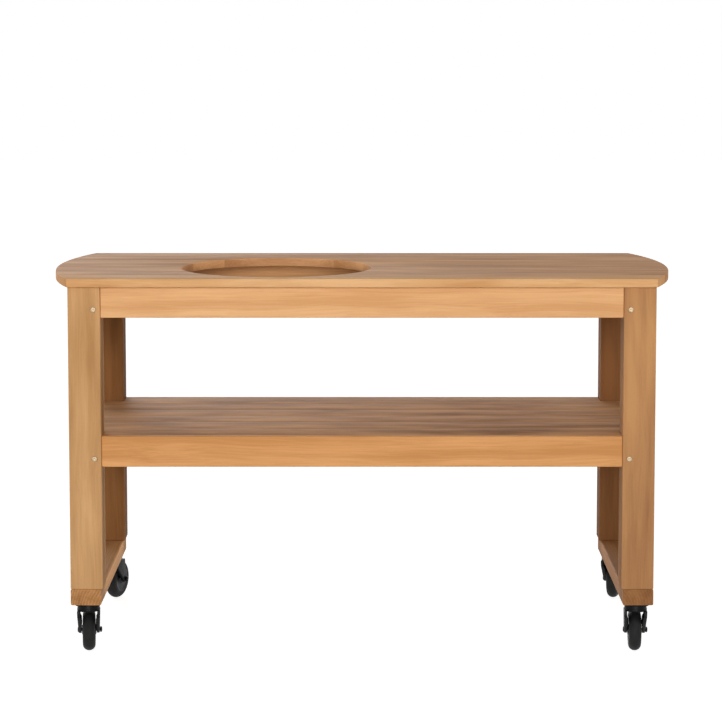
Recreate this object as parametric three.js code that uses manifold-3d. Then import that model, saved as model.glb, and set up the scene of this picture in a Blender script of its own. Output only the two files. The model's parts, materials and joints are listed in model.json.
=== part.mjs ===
// Slatted hardwood table on swivel casters, with a round opening in its top for a ceramic grill
// that stands on the shelf below.
// Units are millimetres. X runs along the table, the front is towards -Y, and Z is up from the floor.

import * as THREE from 'three';
import Module from 'manifold-3d';
import { mergeVertices } from 'three/addons/utils/BufferGeometryUtils.js';

const wasm = await Module();
wasm.setup();

// Overall sizes
const TOP_LENGTH = 1490;
const TOP_DEPTH = 640;
const TABLE_HEIGHT = 900;
const FRAME_LENGTH = 1375;
const FRAME_DEPTH = 615;
const TOUCH_GAP = 0.3;
const RUNNING_GAP = 0.1;

// Table top
const TOP_THICKNESS = 20;
const TOP_BOARD_COUNT = 7;
const BOARD_GAP = 1.2;
const BOARD_EASE = 1.5;
const END_BOW = 57;
const HOLE_RADIUS = 230;
const HOLE_X = -208;
const HOLE_Y = -48.5;
const HOLE_STEP = Math.PI / 36;
const END_STEPS = 2;

// Legs and the rails under them
const POST_SIZE = 76;
const POST_EDGE = 3;
const FOOT_RAIL_WIDTH = 72;
const FOOT_RAIL_HEIGHT = 38;
const FOOT_RAIL_BOTTOM = 124;
const STUB_SIZE = 40;
const STUB_LENGTH = 20;

// Aprons, side rails and their tenons
const APRON_HEIGHT = 73;
const APRON_THICKNESS = 20;
const APRON_RECESS = 6;
const TENON_THICKNESS = 10;
const TENON_SHOULDER = 10;
const APRON_TENON = 40;
const SIDE_TENON = 30;

// Shelf
const SHELF_HEIGHT = 527;
const SHELF_THICKNESS = 20;
const SHELF_BOARD_COUNT = 6;
const REBATE_WIDTH = 12;

// Battens under the boards
const BATTEN_WIDTH = 45;
const BATTEN_THICKNESS = 20;
const TOP_BATTEN_XS = [-470, 54, 330];
const SHELF_BATTEN_XS = [-220, 220];
const BAR_EDGE = 2;

// Button head bolts and cap nuts that pin the tenons in the posts
const BOLT_SIDES = 10;
const BOLT_RADIUS = 4;
const BOLT_INSET = 16;
const BOLT_RISE = 20;
const BOLT_HEAD_RADIUS = 7;
const BOLT_HEAD_HEIGHT = 3.4;
const SOCKET_RADIUS = 2.9;
const SOCKET_DEPTH = 2;
const SLEEVE_RADIUS = 5.4;
const SLEEVE_LENGTH = 24;
const NUT_FLANGE = 1.6;

// Swivel casters
const WHEEL_RADIUS = 50;
const WHEEL_SIDES = 24;
const TREAD_HALF_WIDTH = 14.9;
const TREAD_HALF_FLAT = 1.5;
const TREAD_DEPTH = 14;
const CORE_RADIUS = 29;
const DISH_DEPTH = 2;
const HUB_RADIUS = 12;
const HUB_HALF_WIDTH = 17;
const AXLE_SIDES = 8;
const AXLE_RADIUS = 4;
const AXLE_HEIGHT = WHEEL_RADIUS * Math.cos(Math.PI / WHEEL_SIDES);
const TRAIL = 30;
const CROWN_SIDES = 16;
const CROWN_BOTTOM = 104;
const CROWN_THICKNESS = 3;
const CROWN_RADIUS = 27.4;
const CUP_RADIUS = 26.6;
const CUP_WALL = 2;
const CUP_TOP = 119.4;
const RACE_BOTTOM = 111;
const RACE_RADIUS = 23.5;
const RACE_BORE = 12;
const SHEET = 2.5;
const LEG_FLANGE = 7;
const LEG_LEAN = 2;
const BOSS_RADIUS = 8.5;
const AXLE_END_GAP = 0.6;
const AXLE_HEAD_HEIGHT = 1.8;
const AXLE_NUT_HEIGHT = 4.2;
const AXLE_NUT_RADIUS = 7;
const PLATE_WIDTH = 55;
const PLATE_DEPTH = 70;
const PLATE_THICKNESS = 2.5;
const PLATE_CORNER = 7;
const KINGPIN_RADIUS = 5;
const KINGPIN_HEAD_RADIUS = 9;
const KINGPIN_HEAD_HEIGHT = 4.2;
const SCREW_SPREAD_X = 18.5;
const SCREW_SPREAD_Y = 27;
const SCREW_SIDES = 6;
const SCREW_RADIUS = 2.3;
const SCREW_LENGTH = 22;
const SCREW_HEAD_RADIUS = 4.4;
const CASTER_TURNS = { front_left: 5, front_right: -3, back_left: -20, back_right: -13 };

// Places that follow from the sizes
const TOP_UNDERSIDE = TABLE_HEIGHT - TOP_THICKNESS;
const FOOT_RAIL_TOP = FOOT_RAIL_BOTTOM + FOOT_RAIL_HEIGHT;
const POST_X = (FRAME_LENGTH - POST_SIZE) / 2;
const POST_Y = (FRAME_DEPTH - POST_SIZE) / 2;
const POST_INNER_X = FRAME_LENGTH / 2 - POST_SIZE;
const POST_INNER_Y = FRAME_DEPTH / 2 - POST_SIZE;
const APRON_Y = FRAME_DEPTH / 2 - APRON_RECESS - APRON_THICKNESS / 2;
const SIDE_RAIL_X = FRAME_LENGTH / 2 - APRON_RECESS - APRON_THICKNESS / 2;
const APRON_INNER_Y = APRON_Y - APRON_THICKNESS / 2;
const BOLT_X = POST_INNER_X + BOLT_INSET;
const TOP_APRON_BOTTOM = TOP_UNDERSIDE - APRON_HEIGHT;
const SHELF_APRON_BOTTOM = SHELF_HEIGHT - APRON_HEIGHT;
const APRON_BOTTOMS = [TOP_APRON_BOTTOM, SHELF_APRON_BOTTOM];
const TENON_HEIGHT = APRON_HEIGHT - 2 * TENON_SHOULDER;
const PLATE_TOP = FOOT_RAIL_BOTTOM - TOUCH_GAP;
const PLATE_BOTTOM = PLATE_TOP - PLATE_THICKNESS;
const END_RADIUS = ((TOP_DEPTH / 2) ** 2 + END_BOW ** 2) / (2 * END_BOW);
const END_CENTRE = END_RADIUS - TOP_LENGTH / 2;

// Finishes, one fresh material for each piece
function finish(color, roughness, metalness) {
  return new THREE.MeshStandardMaterial({ color, roughness, metalness });
}

const oiledHardwood = () => finish(0xc08c58, 0.62, 0);
const stainlessSteel = () => finish(0xc9c2b4, 0.35, 1);
const blackSteel = () => finish(0x161617, 0.45, 0.4);
const blackRubber = () => finish(0x262626, 0.8, 0);

// Closed solids for cutting and joining
function toSolid(geometry) {
  const bare = geometry.clone();
  bare.deleteAttribute('normal');
  bare.deleteAttribute('uv');
  const merged = mergeVertices(bare, 1e-4);
  return new wasm.Manifold(new wasm.Mesh({
    numProp: 3,
    vertProperties: new Float32Array(merged.attributes.position.array),
    triVerts: new Uint32Array(merged.index.array),
  }));
}

function toGeometry(solid) {
  const mesh = solid.getMesh();
  const geometry = new THREE.BufferGeometry();
  geometry.setAttribute('position', new THREE.BufferAttribute(new Float32Array(mesh.vertProperties), 3));
  geometry.setIndex(new THREE.BufferAttribute(new Uint32Array(mesh.triVerts), 1));
  geometry.computeVertexNormals();
  return geometry;
}

function shapeOf(body, additions, cutters) {
  let solid = toSolid(body);
  for (const addition of additions) {
    solid = solid.add(toSolid(addition));
  }
  for (const cutter of cutters) {
    solid = solid.subtract(toSolid(cutter));
  }
  return toGeometry(solid);
}

// Outlines
function arc(centreX, centreY, radius, from, to, steps) {
  const points = [];
  for (let i = 0; i <= steps; i += 1) {
    const angle = from + (to - from) * i / steps;
    points.push(new THREE.Vector2(centreX + radius * Math.cos(angle), centreY + radius * Math.sin(angle)));
  }
  return points;
}

function roundedRectangle(width, height, radius, steps) {
  const points = [];
  for (let corner = 0; corner < 4; corner += 1) {
    const signX = corner === 0 || corner === 3 ? 1 : -1;
    const signY = corner < 2 ? 1 : -1;
    const from = corner * Math.PI / 2;
    points.push(...arc(signX * (width / 2 - radius), signY * (height / 2 - radius), radius,
      from, from + Math.PI / 2, steps));
  }
  return points;
}

// A flat piece from its plan outline, all its edges eased, its underside at z = 0
function easedSlab(outline, thickness, ease) {
  const slab = new THREE.ExtrudeGeometry(new THREE.Shape(outline), {
    depth: thickness - 2 * ease,
    bevelEnabled: true,
    bevelThickness: ease,
    bevelSize: ease,
    bevelOffset: -ease,
    bevelSegments: 1,
  });
  return slab.translate(0, 0, ease);
}

// A planed bar centred on the origin; its section is width by height and its length runs along the axis
function bar(axis, length, width, height, edge) {
  const geometry = easedSlab(roundedRectangle(width, height, edge, 2), length, edge / 2);
  geometry.translate(0, 0, -length / 2);
  if (axis === 'x') {
    geometry.rotateX(Math.PI / 2);
    geometry.rotateZ(Math.PI / 2);
  } else if (axis === 'y') {
    geometry.rotateX(Math.PI / 2);
  }
  return geometry;
}

function block(sizeX, sizeY, sizeZ, x, y, z) {
  return new THREE.BoxGeometry(sizeX, sizeY, sizeZ).translate(x, y, z);
}

function pin(axis, radius, length, steps, x, y, z) {
  const geometry = new THREE.CylinderGeometry(radius, radius, length, steps);
  if (axis === 'x') {
    geometry.rotateZ(Math.PI / 2);
  } else if (axis === 'z') {
    geometry.rotateX(Math.PI / 2);
  }
  return geometry.translate(x, y, z);
}

// A ring or a turned piece about the vertical; the profile is radius and height, up the outside first
function turned(profile, steps) {
  const points = profile.map(([radius, height]) => new THREE.Vector2(radius, height));
  return new THREE.LatheGeometry(points, steps).rotateX(Math.PI / 2);
}

function piece(name, geometry, material, x, y, z) {
  const mesh = new THREE.Mesh(geometry, material);
  mesh.name = name;
  mesh.position.set(x, y, z);
  return mesh;
}

// Half of the wheel's profile, as radius and distance from its middle plane: the bearing, the hub, the
// dished core and the domed tread
function wheelProfile() {
  const dome = arc(0, 0, 1, Math.PI / 2, Math.asin(TREAD_HALF_FLAT / TREAD_HALF_WIDTH), 3);
  const tread = dome.map((point) => [WHEEL_RADIUS - TREAD_DEPTH * (1 - point.x / dome[dome.length - 1].x),
    TREAD_HALF_WIDTH * point.y]);
  const dish = TREAD_HALF_WIDTH - DISH_DEPTH;
  return [[AXLE_RADIUS + RUNNING_GAP, HUB_HALF_WIDTH], [HUB_RADIUS, HUB_HALF_WIDTH], [HUB_RADIUS + 1.5, dish],
    [CORE_RADIUS, dish], ...tread];
}

// Trailing wheels reach past the back of the top, so the origin is the middle of the whole footprint.
const leastTurn = THREE.MathUtils.degToRad(Math.abs(CASTER_TURNS.back_right));
const wheelReach = Math.max(...wheelProfile().map(([radius, x]) => radius * Math.cos(Math.PI / WHEEL_SIDES)
  * Math.cos(leastTurn) + x * Math.sin(leastTurn)));
const backReach = POST_Y + TRAIL * Math.cos(leastTurn) + wheelReach;

const table = new THREE.Group();
table.position.y = -(backReach - TOP_DEPTH / 2) / 2;

// Top boards run the length of the table. Both ends are bowed. The round opening cuts the boards
// that cross it in two, and takes a bite out of the two that it only reaches into.
function holeReach(y) {
  const offset = y - HOLE_Y;
  return Math.abs(offset) < HOLE_RADIUS ? Math.sqrt(HOLE_RADIUS ** 2 - offset ** 2) : 0;
}

function holeArc(from, to) {
  const steps = Math.max(2, Math.ceil(Math.abs(to - from) / HOLE_STEP));
  return arc(HOLE_X, HOLE_Y, HOLE_RADIUS, from, to, steps);
}

function topBoardOutlines(front, back) {
  const endAngle = (y) => Math.asin(y / END_RADIUS);
  const rightEnd = arc(-END_CENTRE, 0, END_RADIUS, endAngle(front), endAngle(back), END_STEPS);
  const leftEnd = arc(END_CENTRE, 0, END_RADIUS, Math.PI - endAngle(back), Math.PI - endAngle(front),
    END_STEPS);
  const holeAngle = (y) => Math.asin((y - HOLE_Y) / HOLE_RADIUS);
  const cutsFront = holeReach(front) > 0;
  const cutsBack = holeReach(back) > 0;
  if (cutsFront && cutsBack) {
    const leftWall = holeArc(Math.PI - holeAngle(front), Math.PI - holeAngle(back));
    const rightWall = holeArc(holeAngle(back), holeAngle(front));
    return [[...leftWall, ...leftEnd], [...rightEnd, ...rightWall]];
  }
  if (cutsBack) {
    const bite = holeArc(holeAngle(back), -Math.PI - holeAngle(back));
    return [[...rightEnd, ...bite, ...leftEnd]];
  }
  if (cutsFront) {
    const bite = holeArc(Math.PI - holeAngle(front), holeAngle(front));
    return [[...rightEnd, ...leftEnd, ...bite]];
  }
  return [[...rightEnd, ...leftEnd]];
}

const topPitch = (TOP_DEPTH + BOARD_GAP) / TOP_BOARD_COUNT;
for (let i = 0; i < TOP_BOARD_COUNT; i += 1) {
  const front = -TOP_DEPTH / 2 + i * topPitch;
  const back = front + topPitch - BOARD_GAP;
  const outlines = topBoardOutlines(front, back);
  outlines.forEach((outline, part) => {
    const end = outlines.length > 1 ? ['_left', '_right'][part] : '';
    table.add(piece(`top_board_${i + 1}${end}`, easedSlab(outline, TOP_THICKNESS, BOARD_EASE),
      oiledHardwood(), 0, 0, TOP_UNDERSIDE));
  });
}

// Battens under the top boards, on both sides of the opening and in the middle of the right half
const battenLength = 2 * (APRON_INNER_Y - TOUCH_GAP);
TOP_BATTEN_XS.forEach((x, i) => {
  const geometry = bar('y', battenLength, BATTEN_WIDTH, BATTEN_THICKNESS, BAR_EDGE);
  const z = TOP_UNDERSIDE - TOUCH_GAP - BATTEN_THICKNESS / 2;
  table.add(piece(`top_batten_${i + 1}`, geometry, oiledHardwood(), x, 0, z));
});

// Front and back aprons, tenoned into the posts and drilled for the bolts
function apron() {
  const length = 2 * (POST_INNER_X - TOUCH_GAP);
  const tenonCentre = length / 2 + APRON_TENON / 2 - 1;
  const tenons = [-1, 1].map((side) => block(APRON_TENON + 2, TENON_THICKNESS, TENON_HEIGHT,
    side * tenonCentre, 0, 0));
  const bores = [-1, 1].map((side) => pin('y', BOLT_RADIUS + TOUCH_GAP, APRON_THICKNESS, BOLT_SIDES,
    side * BOLT_X, 0, BOLT_RISE - APRON_HEIGHT / 2));
  const board = bar('x', length, APRON_THICKNESS, APRON_HEIGHT, BAR_EDGE);
  return shapeOf(board, tenons, bores);
}

// Rails between the front and the back post of one end
function sideRail(thickness, rebate) {
  const length = 2 * (POST_INNER_Y - TOUCH_GAP);
  const tenonCentre = length / 2 + SIDE_TENON / 2 - 1;
  const tenonX = (thickness - APRON_THICKNESS) / 2;
  const tenons = [-1, 1].map((side) => block(TENON_THICKNESS, SIDE_TENON + 2, TENON_HEIGHT,
    tenonX, side * tenonCentre, 0));
  const cutters = rebate > 0
    ? [block(2 * rebate, length + 2, 2 * SHELF_THICKNESS, -thickness / 2, 0, APRON_HEIGHT / 2)]
    : [];
  const board = bar('y', length, thickness, APRON_HEIGHT, BAR_EDGE);
  return shapeOf(board, tenons, cutters);
}

for (const [side, sign] of [['front', -1], ['back', 1]]) {
  const middle = APRON_HEIGHT / 2;
  const topZ = TOP_APRON_BOTTOM + middle - TOUCH_GAP;
  table.add(piece(`${side}_apron`, apron(), oiledHardwood(), 0, sign * APRON_Y, topZ));
  table.add(piece(`${side}_shelf_apron`, apron(), oiledHardwood(), 0, sign * APRON_Y,
    SHELF_APRON_BOTTOM + middle));
}

for (const [side, sign] of [['left', -1], ['right', 1]]) {
  const middle = APRON_HEIGHT / 2;
  const topZ = TOP_APRON_BOTTOM + middle - TOUCH_GAP;
  const topRail = piece(`${side}_side_rail`, sideRail(APRON_THICKNESS, 0), oiledHardwood(),
    sign * SIDE_RAIL_X, 0, topZ);
  const shelfRail = piece(`${side}_shelf_rail`, sideRail(APRON_THICKNESS + REBATE_WIDTH, REBATE_WIDTH),
    oiledHardwood(), sign * (SIDE_RAIL_X - REBATE_WIDTH / 2), 0, SHELF_APRON_BOTTOM + middle);
  topRail.rotation.z = sign > 0 ? 0 : Math.PI;
  shelfRail.rotation.z = sign > 0 ? 0 : Math.PI;
  table.add(topRail, shelfRail);
}

// Posts, with mortises for the aprons and side rails, bolt bores and a stub tenon at the foot
function post(signX, signY) {
  const bottom = FOOT_RAIL_TOP + TOUCH_GAP;
  const height = TOP_UNDERSIDE - TOUCH_GAP - bottom;
  const shaft = bar('z', height, POST_SIZE, POST_SIZE, POST_EDGE).translate(0, 0, height / 2);
  const stub = block(STUB_SIZE, STUB_SIZE, STUB_LENGTH + 2, 0, 0, 1 - STUB_LENGTH / 2);
  const apronY = signY * (APRON_Y - POST_Y);
  const sideX = signX * (SIDE_RAIL_X - POST_X);
  const cutters = [];
  for (const level of APRON_BOTTOMS) {
    const lift = level === TOP_APRON_BOTTOM ? TOUCH_GAP : 0;
    const middle = level - lift + APRON_HEIGHT / 2 - bottom;
    const boltZ = level - lift + BOLT_RISE - bottom;
    const boltX = signX * (BOLT_X - POST_X);
    const innerX = -signX * POST_SIZE / 2;
    const innerY = -signY * POST_SIZE / 2;
    cutters.push(block(2 * (APRON_TENON + TOUCH_GAP), TENON_THICKNESS + 2 * TOUCH_GAP,
      TENON_HEIGHT + 2 * TOUCH_GAP, innerX, apronY, middle));
    cutters.push(block(TENON_THICKNESS + 2 * TOUCH_GAP, 2 * (SIDE_TENON + TOUCH_GAP),
      TENON_HEIGHT + 2 * TOUCH_GAP, sideX, innerY, middle));
    cutters.push(pin('y', BOLT_RADIUS + TOUCH_GAP, POST_SIZE + 2, BOLT_SIDES, boltX, 0, boltZ));
    cutters.push(pin('y', SLEEVE_RADIUS + TOUCH_GAP, 2 * (SLEEVE_LENGTH + TOUCH_GAP), BOLT_SIDES,
      boltX, innerY, boltZ));
  }
  return shapeOf(shaft, [stub], cutters);
}

// Rails that lie under the posts of one end, mortised for the stubs and drilled for the caster screws
function footRail(signX) {
  const board = bar('y', FRAME_DEPTH, FOOT_RAIL_WIDTH, FOOT_RAIL_HEIGHT, POST_EDGE);
  const postX = POST_X - (FRAME_LENGTH - FOOT_RAIL_WIDTH) / 2;
  const cutters = [];
  for (const y of [-POST_Y, POST_Y]) {
    cutters.push(block(STUB_SIZE + 2 * TOUCH_GAP, STUB_SIZE + 2 * TOUCH_GAP,
      2 * (STUB_LENGTH + TOUCH_GAP), signX * postX, y, FOOT_RAIL_HEIGHT / 2));
    for (const [dx, dy] of screwPlaces()) {
      cutters.push(pin('z', SCREW_RADIUS + TOUCH_GAP, 2 * SCREW_LENGTH, SCREW_SIDES,
        signX * postX + dx, y + dy, -FOOT_RAIL_HEIGHT / 2));
    }
  }
  return shapeOf(board, [], cutters);
}

function screwPlaces() {
  const places = [];
  for (const signX of [-1, 1]) {
    for (const signY of [-1, 1]) {
      places.push([signX * SCREW_SPREAD_X, signY * SCREW_SPREAD_Y]);
    }
  }
  return places;
}

const corners = [];
for (const [depthName, signY] of [['front', -1], ['back', 1]]) {
  for (const [sideName, signX] of [['left', -1], ['right', 1]]) {
    corners.push({ name: `${depthName}_${sideName}`, signX, signY });
  }
}

for (const { name, signX, signY } of corners) {
  table.add(piece(`${name}_post`, post(signX, signY), oiledHardwood(),
    signX * POST_X, signY * POST_Y, FOOT_RAIL_TOP + TOUCH_GAP));
}

for (const [side, signX] of [['left', -1], ['right', 1]]) {
  table.add(piece(`${side}_foot_rail`, footRail(signX), oiledHardwood(),
    signX * (FRAME_LENGTH - FOOT_RAIL_WIDTH) / 2, 0, FOOT_RAIL_BOTTOM + FOOT_RAIL_HEIGHT / 2));
}

// Shelf boards lie between the aprons and end on the rebates of the side rails. The first and
// the last one are notched round the posts.
const shelfFront = -(APRON_INNER_Y - BOARD_GAP / 4);
const shelfPitch = (-2 * shelfFront + BOARD_GAP) / SHELF_BOARD_COUNT;
const shelfEnd = SIDE_RAIL_X - APRON_THICKNESS / 2 - BOARD_GAP / 4;
const notchX = POST_INNER_X - BOARD_GAP / 4;
const notchY = POST_INNER_Y - BOARD_GAP / 4;

function shelfBoardOutline(front, back) {
  const frontX = front < -notchY ? notchX : shelfEnd;
  const backX = back > notchY ? notchX : shelfEnd;
  const right = [new THREE.Vector2(frontX, front)];
  if (frontX !== shelfEnd) {
    right.push(new THREE.Vector2(frontX, -notchY), new THREE.Vector2(shelfEnd, -notchY));
  }
  if (backX !== shelfEnd) {
    right.push(new THREE.Vector2(shelfEnd, notchY), new THREE.Vector2(backX, notchY));
  }
  right.push(new THREE.Vector2(backX, back));
  const left = right.map((point) => new THREE.Vector2(-point.x, point.y)).reverse();
  return [...right, ...left];
}

for (let i = 0; i < SHELF_BOARD_COUNT; i += 1) {
  const front = shelfFront + i * shelfPitch;
  const outline = shelfBoardOutline(front, front + shelfPitch - BOARD_GAP);
  table.add(piece(`shelf_board_${i + 1}`, easedSlab(outline, SHELF_THICKNESS - TOUCH_GAP, BOARD_EASE),
    oiledHardwood(), 0, 0, SHELF_HEIGHT - SHELF_THICKNESS + TOUCH_GAP));
}

SHELF_BATTEN_XS.forEach((x, i) => {
  const geometry = bar('y', battenLength, BATTEN_WIDTH, BATTEN_THICKNESS, BAR_EDGE);
  const z = SHELF_HEIGHT - SHELF_THICKNESS - BATTEN_THICKNESS / 2;
  table.add(piece(`shelf_batten_${i + 1}`, geometry, oiledHardwood(), x, 0, z));
});

// A button head bolt comes in from the outer face of each post, and a cap nut meets it from the inner one
function frameBolt() {
  const dome = arc(0, 0, 1, 0, Math.PI / 2, 2).map((point) => [point.x * BOLT_HEAD_RADIUS,
    TOUCH_GAP + 1 + point.y * (BOLT_HEAD_HEIGHT - 1)]);
  dome[dome.length - 1][0] = 0;
  const nutFace = -POST_SIZE - TOUCH_GAP;
  const nutTop = nutFace - NUT_FLANGE;
  const sleeveEnd = SLEEVE_LENGTH - POST_SIZE;
  const profile = [[0, nutTop], [BOLT_HEAD_RADIUS, nutTop], [BOLT_HEAD_RADIUS, nutFace],
    [SLEEVE_RADIUS, nutFace], [SLEEVE_RADIUS, sleeveEnd], [BOLT_RADIUS, sleeveEnd], [BOLT_RADIUS, TOUCH_GAP],
    [BOLT_HEAD_RADIUS, TOUCH_GAP], ...dome];
  const socket = pin('z', SOCKET_RADIUS, 2 * SOCKET_DEPTH, 6, 0, 0, TOUCH_GAP + BOLT_HEAD_HEIGHT);
  return shapeOf(turned(profile, BOLT_SIDES), [], [socket]);
}

for (const { name, signX, signY } of corners) {
  for (const [levelName, level] of [['shelf', SHELF_APRON_BOTTOM], ['top', TOP_APRON_BOTTOM - TOUCH_GAP]]) {
    const bolt = frameBolt().rotateX(-signY * Math.PI / 2);
    table.add(piece(`${name}_${levelName}_bolt`, bolt, stainlessSteel(),
      signX * BOLT_X, signY * FRAME_DEPTH / 2, level + BOLT_RISE));
  }
}

// Caster top plate: the race below it, the kingpin riveted in it, and its screws, driven into the foot rail
function topPlate() {
  const sheet = new THREE.ExtrudeGeometry(
    new THREE.Shape(roundedRectangle(PLATE_WIDTH, PLATE_DEPTH, PLATE_CORNER, 3)),
    { depth: PLATE_THICKNESS, bevelEnabled: false },
  ).translate(0, 0, PLATE_BOTTOM);
  const joinZ = PLATE_BOTTOM + PLATE_THICKNESS / 2;
  const race = turned([[RACE_BORE, RACE_BOTTOM], [RACE_RADIUS - 3, RACE_BOTTOM],
    [RACE_RADIUS, RACE_BOTTOM + 3], [RACE_RADIUS, joinZ], [RACE_BORE, joinZ], [RACE_BORE, RACE_BOTTOM]], 12);
  const headTop = CROWN_BOTTOM - TOUCH_GAP;
  const headBottom = headTop - KINGPIN_HEAD_HEIGHT;
  const kingpin = turned([[0, headBottom], [KINGPIN_HEAD_RADIUS - 2, headBottom],
    [KINGPIN_HEAD_RADIUS, headBottom + 1.5], [KINGPIN_HEAD_RADIUS, headTop], [KINGPIN_RADIUS, headTop],
    [KINGPIN_RADIUS, joinZ], [0, joinZ]], 8);
  const screws = screwPlaces().map(([x, y]) => plateScrew().translate(x, y, PLATE_BOTTOM));
  return shapeOf(sheet, [race, kingpin, ...screws], []);
}

// Pan head screw, its head against the underside of the plate at z = 0
function plateScrew() {
  return turned([[0, -2.2], [SCREW_HEAD_RADIUS - 1.4, -2.2], [SCREW_HEAD_RADIUS, -0.8],
    [SCREW_HEAD_RADIUS, 0.2], [SCREW_RADIUS, 0.2], [SCREW_RADIUS, SCREW_LENGTH - 4], [0, SCREW_LENGTH]],
  SCREW_SIDES);
}

// Pressed fork: a crown with its race cup, and two raked legs with turned edges that end round the axle
function legOutline(inset) {
  const crownTop = CROWN_BOTTOM + CROWN_THICKNESS / 2 - inset;
  const boss = arc(TRAIL, AXLE_HEIGHT, BOSS_RADIUS - inset,
    THREE.MathUtils.degToRad(20), THREE.MathUtils.degToRad(-140), 7);
  return [
    new THREE.Vector2(-21 + inset, crownTop),
    new THREE.Vector2(23 - inset, crownTop),
    new THREE.Vector2(26 - inset, 90),
    new THREE.Vector2(37 - inset, 66),
    ...boss,
    new THREE.Vector2(-21 + inset, 90 + inset / 2),
  ].reverse();
}

function forkLeg(side) {
  const extrude = (inset, depth) => new THREE.ExtrudeGeometry(new THREE.Shape(legOutline(inset)),
    { depth, bevelEnabled: false });
  const tray = extrude(0, LEG_FLANGE);
  const hollow = extrude(SHEET, LEG_FLANGE).translate(0, 0, side > 0 ? -SHEET : SHEET);
  const leg = shapeOf(tray, [], [hollow]);
  leg.rotateX(Math.PI / 2);
  leg.rotateZ(Math.PI / 2);
  leg.translate(side > 0 ? CROWN_RADIUS - LEG_FLANGE : -CROWN_RADIUS, 0, 0);
  const lean = side * LEG_LEAN / (CROWN_BOTTOM - AXLE_HEIGHT);
  const shear = new THREE.Matrix4().makeShear(0, 0, 0, 0, lean, 0);
  return leg.translate(0, 0, -CROWN_BOTTOM).applyMatrix4(shear).translate(0, 0, CROWN_BOTTOM);
}

function fork() {
  const bore = KINGPIN_RADIUS + RUNNING_GAP;
  const crownTop = CROWN_BOTTOM + CROWN_THICKNESS;
  const crown = turned([[bore, CROWN_BOTTOM], [CROWN_RADIUS - 1.5, CROWN_BOTTOM],
    [CROWN_RADIUS, CROWN_BOTTOM + 1.5], [CROWN_RADIUS, CROWN_BOTTOM + 5], [CUP_RADIUS, CROWN_BOTTOM + 6.5],
    [CUP_RADIUS, CUP_TOP], [CUP_RADIUS - CUP_WALL, CUP_TOP], [CUP_RADIUS - CUP_WALL, crownTop],
    [bore, crownTop], [bore, CROWN_BOTTOM]], CROWN_SIDES);
  const axleBore = pin('x', AXLE_RADIUS + TOUCH_GAP, 3 * CROWN_RADIUS, AXLE_SIDES, 0, TRAIL, AXLE_HEIGHT);
  return shapeOf(crown, [forkLeg(-1), forkLeg(1)], [axleBore]);
}

// Axle bolt with a low round head, and its hexagon nut on the other side of the fork
function axle() {
  const face = CROWN_RADIUS - LEG_LEAN + AXLE_END_GAP;
  const shank = pin('x', AXLE_RADIUS, 2 * face + 2, AXLE_SIDES, 0, 0, 0);
  const head = new THREE.CylinderGeometry(AXLE_NUT_RADIUS, AXLE_NUT_RADIUS - 2, AXLE_HEAD_HEIGHT, 12);
  head.rotateZ(-Math.PI / 2).translate(-face - AXLE_HEAD_HEIGHT / 2, 0, 0);
  const nut = pin('x', AXLE_NUT_RADIUS, AXLE_NUT_HEIGHT, 6, face + AXLE_NUT_HEIGHT / 2, 0, 0);
  return shapeOf(shank, [head, nut], []);
}

// Wheel: a moulded core with its hub, and a domed rubber tread bonded to it
function wheelBody() {
  const half = wheelProfile();
  const points = [...half.map(([r, x]) => [r, -x]), ...half.map(([r, x]) => [r, x]).reverse()];
  points.push(points[0]);
  return turned(points, WHEEL_SIDES).rotateZ(Math.PI / WHEEL_SIDES).rotateY(Math.PI / 2);
}

for (const { name, signX, signY } of corners) {
  const caster = new THREE.Group();
  caster.position.set(signX * POST_X, signY * POST_Y, 0);
  const swivel = new THREE.Group();
  swivel.rotation.z = THREE.MathUtils.degToRad(CASTER_TURNS[name]);
  swivel.add(piece(`${name}_fork`, fork(), blackSteel(), 0, 0, 0));
  swivel.add(piece(`${name}_axle`, axle(), blackSteel(), 0, TRAIL, AXLE_HEIGHT));
  swivel.add(piece(`${name}_wheel`, wheelBody(), blackRubber(), 0, TRAIL, AXLE_HEIGHT));
  caster.add(piece(`${name}_caster_plate`, topPlate(), blackSteel(), 0, 0, 0), swivel);
  table.add(caster);
}

export default table;
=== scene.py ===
import json
import math

import bpy
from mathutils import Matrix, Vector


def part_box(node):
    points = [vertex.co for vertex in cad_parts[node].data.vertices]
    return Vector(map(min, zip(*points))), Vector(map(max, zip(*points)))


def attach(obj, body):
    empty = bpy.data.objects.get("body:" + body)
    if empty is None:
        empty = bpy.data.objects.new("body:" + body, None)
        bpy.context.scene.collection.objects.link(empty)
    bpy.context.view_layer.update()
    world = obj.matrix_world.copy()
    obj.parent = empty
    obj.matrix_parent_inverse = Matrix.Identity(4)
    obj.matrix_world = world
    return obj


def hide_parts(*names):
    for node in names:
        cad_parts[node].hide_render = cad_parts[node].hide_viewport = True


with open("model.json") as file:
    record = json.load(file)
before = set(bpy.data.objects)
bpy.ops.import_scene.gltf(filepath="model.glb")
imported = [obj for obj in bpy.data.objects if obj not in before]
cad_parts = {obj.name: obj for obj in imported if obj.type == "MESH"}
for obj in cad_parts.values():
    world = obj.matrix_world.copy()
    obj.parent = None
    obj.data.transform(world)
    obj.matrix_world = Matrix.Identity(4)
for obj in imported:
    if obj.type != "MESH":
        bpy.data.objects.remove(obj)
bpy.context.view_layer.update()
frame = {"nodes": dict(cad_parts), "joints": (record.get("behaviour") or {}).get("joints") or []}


# Camera: it stands nearly six metres in front of the table, above the worktop, with a long lens.
# The view is shifted down a little, so that the posts stay nearly upright.
rail_low, rail_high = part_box("left_foot_rail")
middle = (rail_low.y + rail_high.y) / 2      # the middle plane of the woodwork, without the wheels
half_depth = 0.3075                          # from there to the outer faces of the posts
camera_aside = 0.00066
camera_distance = 5.6423                     # in front of the posts
camera_height = 1.4977
camera_tilt = 5.441                          # degrees down from level

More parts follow.
